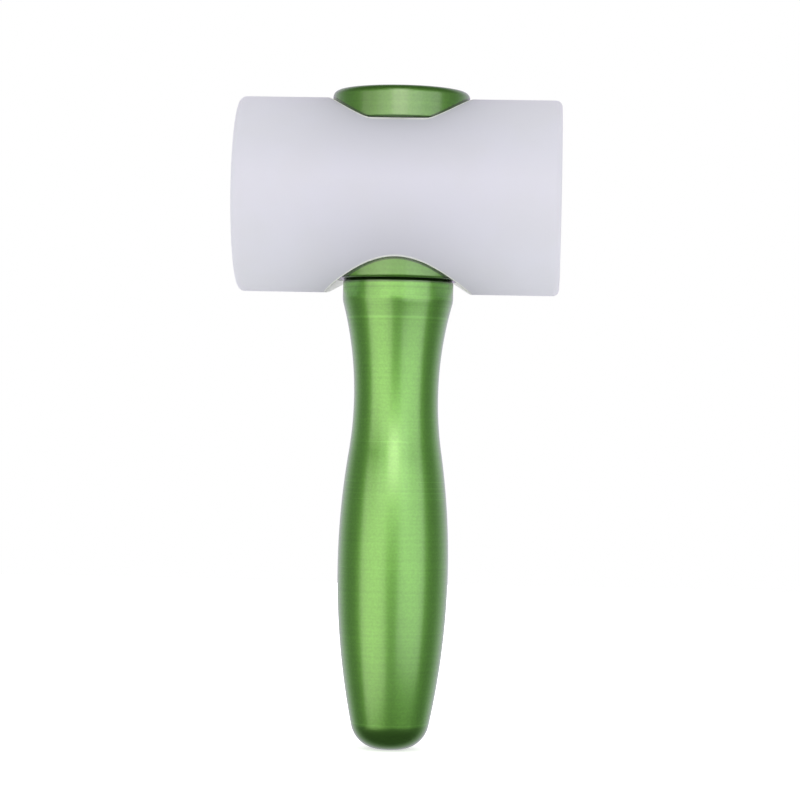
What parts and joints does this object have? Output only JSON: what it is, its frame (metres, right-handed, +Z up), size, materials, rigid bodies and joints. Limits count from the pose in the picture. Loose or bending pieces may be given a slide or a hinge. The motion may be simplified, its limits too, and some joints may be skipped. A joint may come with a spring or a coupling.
{
  "type": "leather carving mallet",
  "caption": "Leather carving mallet: a cylindrical nylon head clamped between round discs on a waisted, turned aluminium handle.",
  "frame": {"origin": "centre of the handle's butt, the lowest point of the mallet", "axes": "+Z up the handle towards the head, X along the head between its striking faces, +Y level and square to both"},
  "size_m": [0.099, 0.06, 0.2023],
  "materials": {
    "handle_green": "satin green anodised, fine turning marks",
    "disc_green": "satin green anodised, fine turning marks",
    "nylon": "matte translucent white nylon",
    "bare_aluminium": "as turned",
    "zinc_steel": "zinc plated",
    "black_steel": "black oxide"
  },
  "bodies": {
    "root": {"handle": "handle_green", "lower_disc": "disc_green", "head": "nylon", "core_spacer": "bare_aluminium", "top_cap": "disc_green", "flat_washer": "zinc_steel", "lock_washer": "zinc_steel", "clamp_bolt": "black_steel"}
  },
  "joints": []
}
